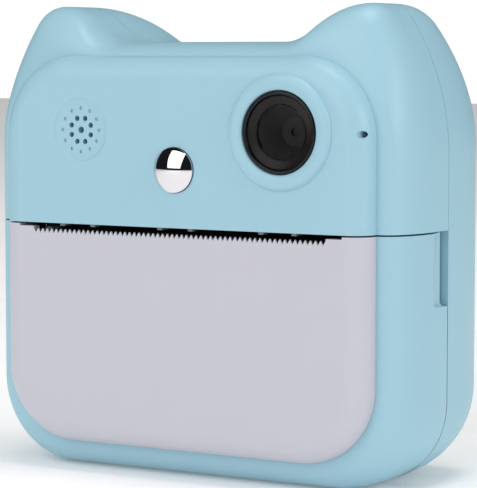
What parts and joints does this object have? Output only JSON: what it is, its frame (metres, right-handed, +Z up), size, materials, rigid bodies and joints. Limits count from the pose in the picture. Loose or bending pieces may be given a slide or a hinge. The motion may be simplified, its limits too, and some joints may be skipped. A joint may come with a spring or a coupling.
{
  "type": "kids instant print camera",
  "caption": "Cat-eared instant-print camera for children with a drop-down paper door, tear edge, lens ring, speaker grille, rear screen and keys.",
  "frame": {"origin": "centre of the bounding box's bottom face, on the plane the camera stands on", "axes": "+X to the right as seen from the front, +Y from the front face to the back, +Z up"},
  "size_m": [0.088, 0.0424, 0.0854],
  "materials": {
    "shell_blue": "matte",
    "plate_lavender": "matte",
    "black_plastic": "satin",
    "lens_black": "gloss",
    "lens_glass": "coated",
    "chrome_mirror": "polished",
    "screen_black": "gloss",
    "key_white": "satin",
    "rubber_black": "matte",
    "steel": "brushed",
    "aluminium": "satin",
    "gear_white": "satin",
    "bushing_plastic": "satin",
    "paper_white": "matte",
    "core_card": "matte",
    "board_green": "satin",
    "battery_grey": "satin",
    "ceramic_head": "glazed",
    "ribbon": "satin",
    "speaker_grey": "matte"
  },
  "bodies": {
    "housing": {"front_shell": "shell_blue", "rear_shell": "shell_blue", "hinge_pin": "steel", "lens_barrel": "lens_black", "lens_window": "lens_glass", "lens_retainer": "black_plastic", "camera_module": "black_plastic", "nose_mirror": "chrome_mirror", "speaker": "speaker_grey", "microphone": "steel", "paper_guide": "black_plastic", "print_frame": "steel", "thermal_head": "ceramic_head", "heat_sink": "aluminium", "head_spring": "steel", "head_ribbon": "ribbon", "motor_can": "steel", "gear_axles": "steel", "paper_cradle": "black_plastic", "main_board": "board_green", "battery": "battery_grey", "lcd_module": "steel", "screen_window": "screen_black", "key_board": "board_green", "tact_switches": "black_plastic", "shutter_switch": "black_plastic", "usb_socket": "steel", "card_socket": "steel"},
    "door": {"door_shell": "shell_blue", "door_plate": "plate_lavender", "platen_bushings": "bushing_plastic"},
    "platen": {"platen_shaft": "steel", "platen_roller": "rubber_black", "platen_gear": "gear_white"},
    "motor_rotor": {"motor_shaft": "steel", "motor_pinion": "gear_white"},
    "drive_wheel": {"drive_gear": "gear_white"},
    "idler_wheel": {"idler_gear": "gear_white"},
    "paper_supply": {"paper_roll": "paper_white", "paper_core": "core_card"},
    "card": {"memory_card": "black_plastic"},
    "ok_key": {"ok_button": "key_white"},
    "power_key": {"power_button": "key_white"},
    "mode_key": {"mode_button": "key_white"},
    "print_key": {"print_button": "key_white"},
    "gallery_key": {"gallery_button": "key_white"},
    "up_key": {"up_button": "key_white"},
    "right_key": {"right_button": "key_white"},
    "down_key": {"down_button": "key_white"},
    "left_key": {"left_button": "key_white"},
    "shutter_key": {"shutter_button": "key_white"}
  },
  "joints": [
    {"name": "door_hinge", "type": "hinge", "parent": "housing", "child": "door", "pos_m": [0, 0.00105, 0.0016], "axis": [1, 0, 0], "range_deg": [0, 80]},
    {"name": "platen_spin", "type": "hinge", "parent": "door", "child": "platen", "pos_m": [0, -0.01035, 0.0415], "axis": [1, 0, 0], "continuous": true},
    {"name": "idler_spin", "type": "hinge", "parent": "housing", "child": "idler_wheel", "pos_m": [0, -0.00396, 0.04383], "axis": [1, 0, 0], "continuous": true},
    {"name": "drive_spin", "type": "hinge", "parent": "housing", "child": "drive_wheel", "pos_m": [0, -0.00044, 0.04818], "axis": [1, 0, 0], "continuous": true},
    {"name": "motor_spin", "type": "hinge", "parent": "housing", "child": "motor_rotor", "pos_m": [0, 0.00536, 0.04818], "axis": [1, 0, 0], "continuous": true},
    {"name": "paper_spin", "type": "hinge", "parent": "housing", "child": "paper_supply", "pos_m": [0, -0.00035, 0.0171], "axis": [1, 0, 0], "continuous": true},
    {"name": "ok_press", "type": "slide", "parent": "housing", "child": "ok_key", "axis": [0, -1, 0], "range_m": [0, 0.0004], "stiffness_N_per_m": 1000, "springref_m": -0.0004},
    {"name": "power_press", "type": "slide", "parent": "housing", "child": "power_key", "axis": [0, -1, 0], "range_m": [0, 0.0004], "stiffness_N_per_m": 1000, "springref_m": -0.0004},
    {"name": "mode_press", "type": "slide", "parent": "housing", "child": "mode_key", "axis": [0, -1, 0], "range_m": [0, 0.0004], "stiffness_N_per_m": 1000, "springref_m": -0.0004},
    {"name": "print_press", "type": "slide", "parent": "housing", "child": "print_key", "axis": [0, -1, 0], "range_m": [0, 0.0004], "stiffness_N_per_m": 1000, "springref_m": -0.0004},
    {"name": "gallery_press", "type": "slide", "parent": "housing", "child": "gallery_key", "axis": [0, -1, 0], "range_m": [0, 0.0004], "stiffness_N_per_m": 1000, "springref_m": -0.0004},
    {"name": "up_press", "type": "slide", "parent": "housing", "child": "up_key", "axis": [0, -1, 0], "range_m": [0, 0.0004], "stiffness_N_per_m": 1000, "springref_m": -0.0004},
    {"name": "right_press", "type": "slide", "parent": "housing", "child": "right_key", "axis": [0, -1, 0], "range_m": [0, 0.0004], "stiffness_N_per_m": 1000, "springref_m": -0.0004},
    {"name": "down_press", "type": "slide", "parent": "housing", "child": "down_key", "axis": [0, -1, 0], "range_m": [0, 0.0004], "stiffness_N_per_m": 1000, "springref_m": -0.0004},
    {"name": "left_press", "type": "slide", "parent": "housing", "child": "left_key", "axis": [0, -1, 0], "range_m": [0, 0.0004], "stiffness_N_per_m": 1000, "springref_m": -0.0004},
    {"name": "shutter_press", "type": "slide", "parent": "housing", "child": "shutter_key", "axis": [0, 0, -1], "range_m": [0, 0.0004], "stiffness_N_per_m": 1000, "springref_m": -0.0004},
    {"name": "card_slide", "type": "slide", "parent": "housing", "child": "card", "axis": [-1, 0, 0], "range_m": [0, 0.01]}
  ],
  "couplings": [
    {"joint": "idler_spin", "follows": "platen_spin", "ratio": -0.88889},
    {"joint": "drive_spin", "follows": "platen_spin", "ratio": 1.6},
    {"joint": "motor_spin", "follows": "platen_spin", "ratio": -3.5556}
  ]
}
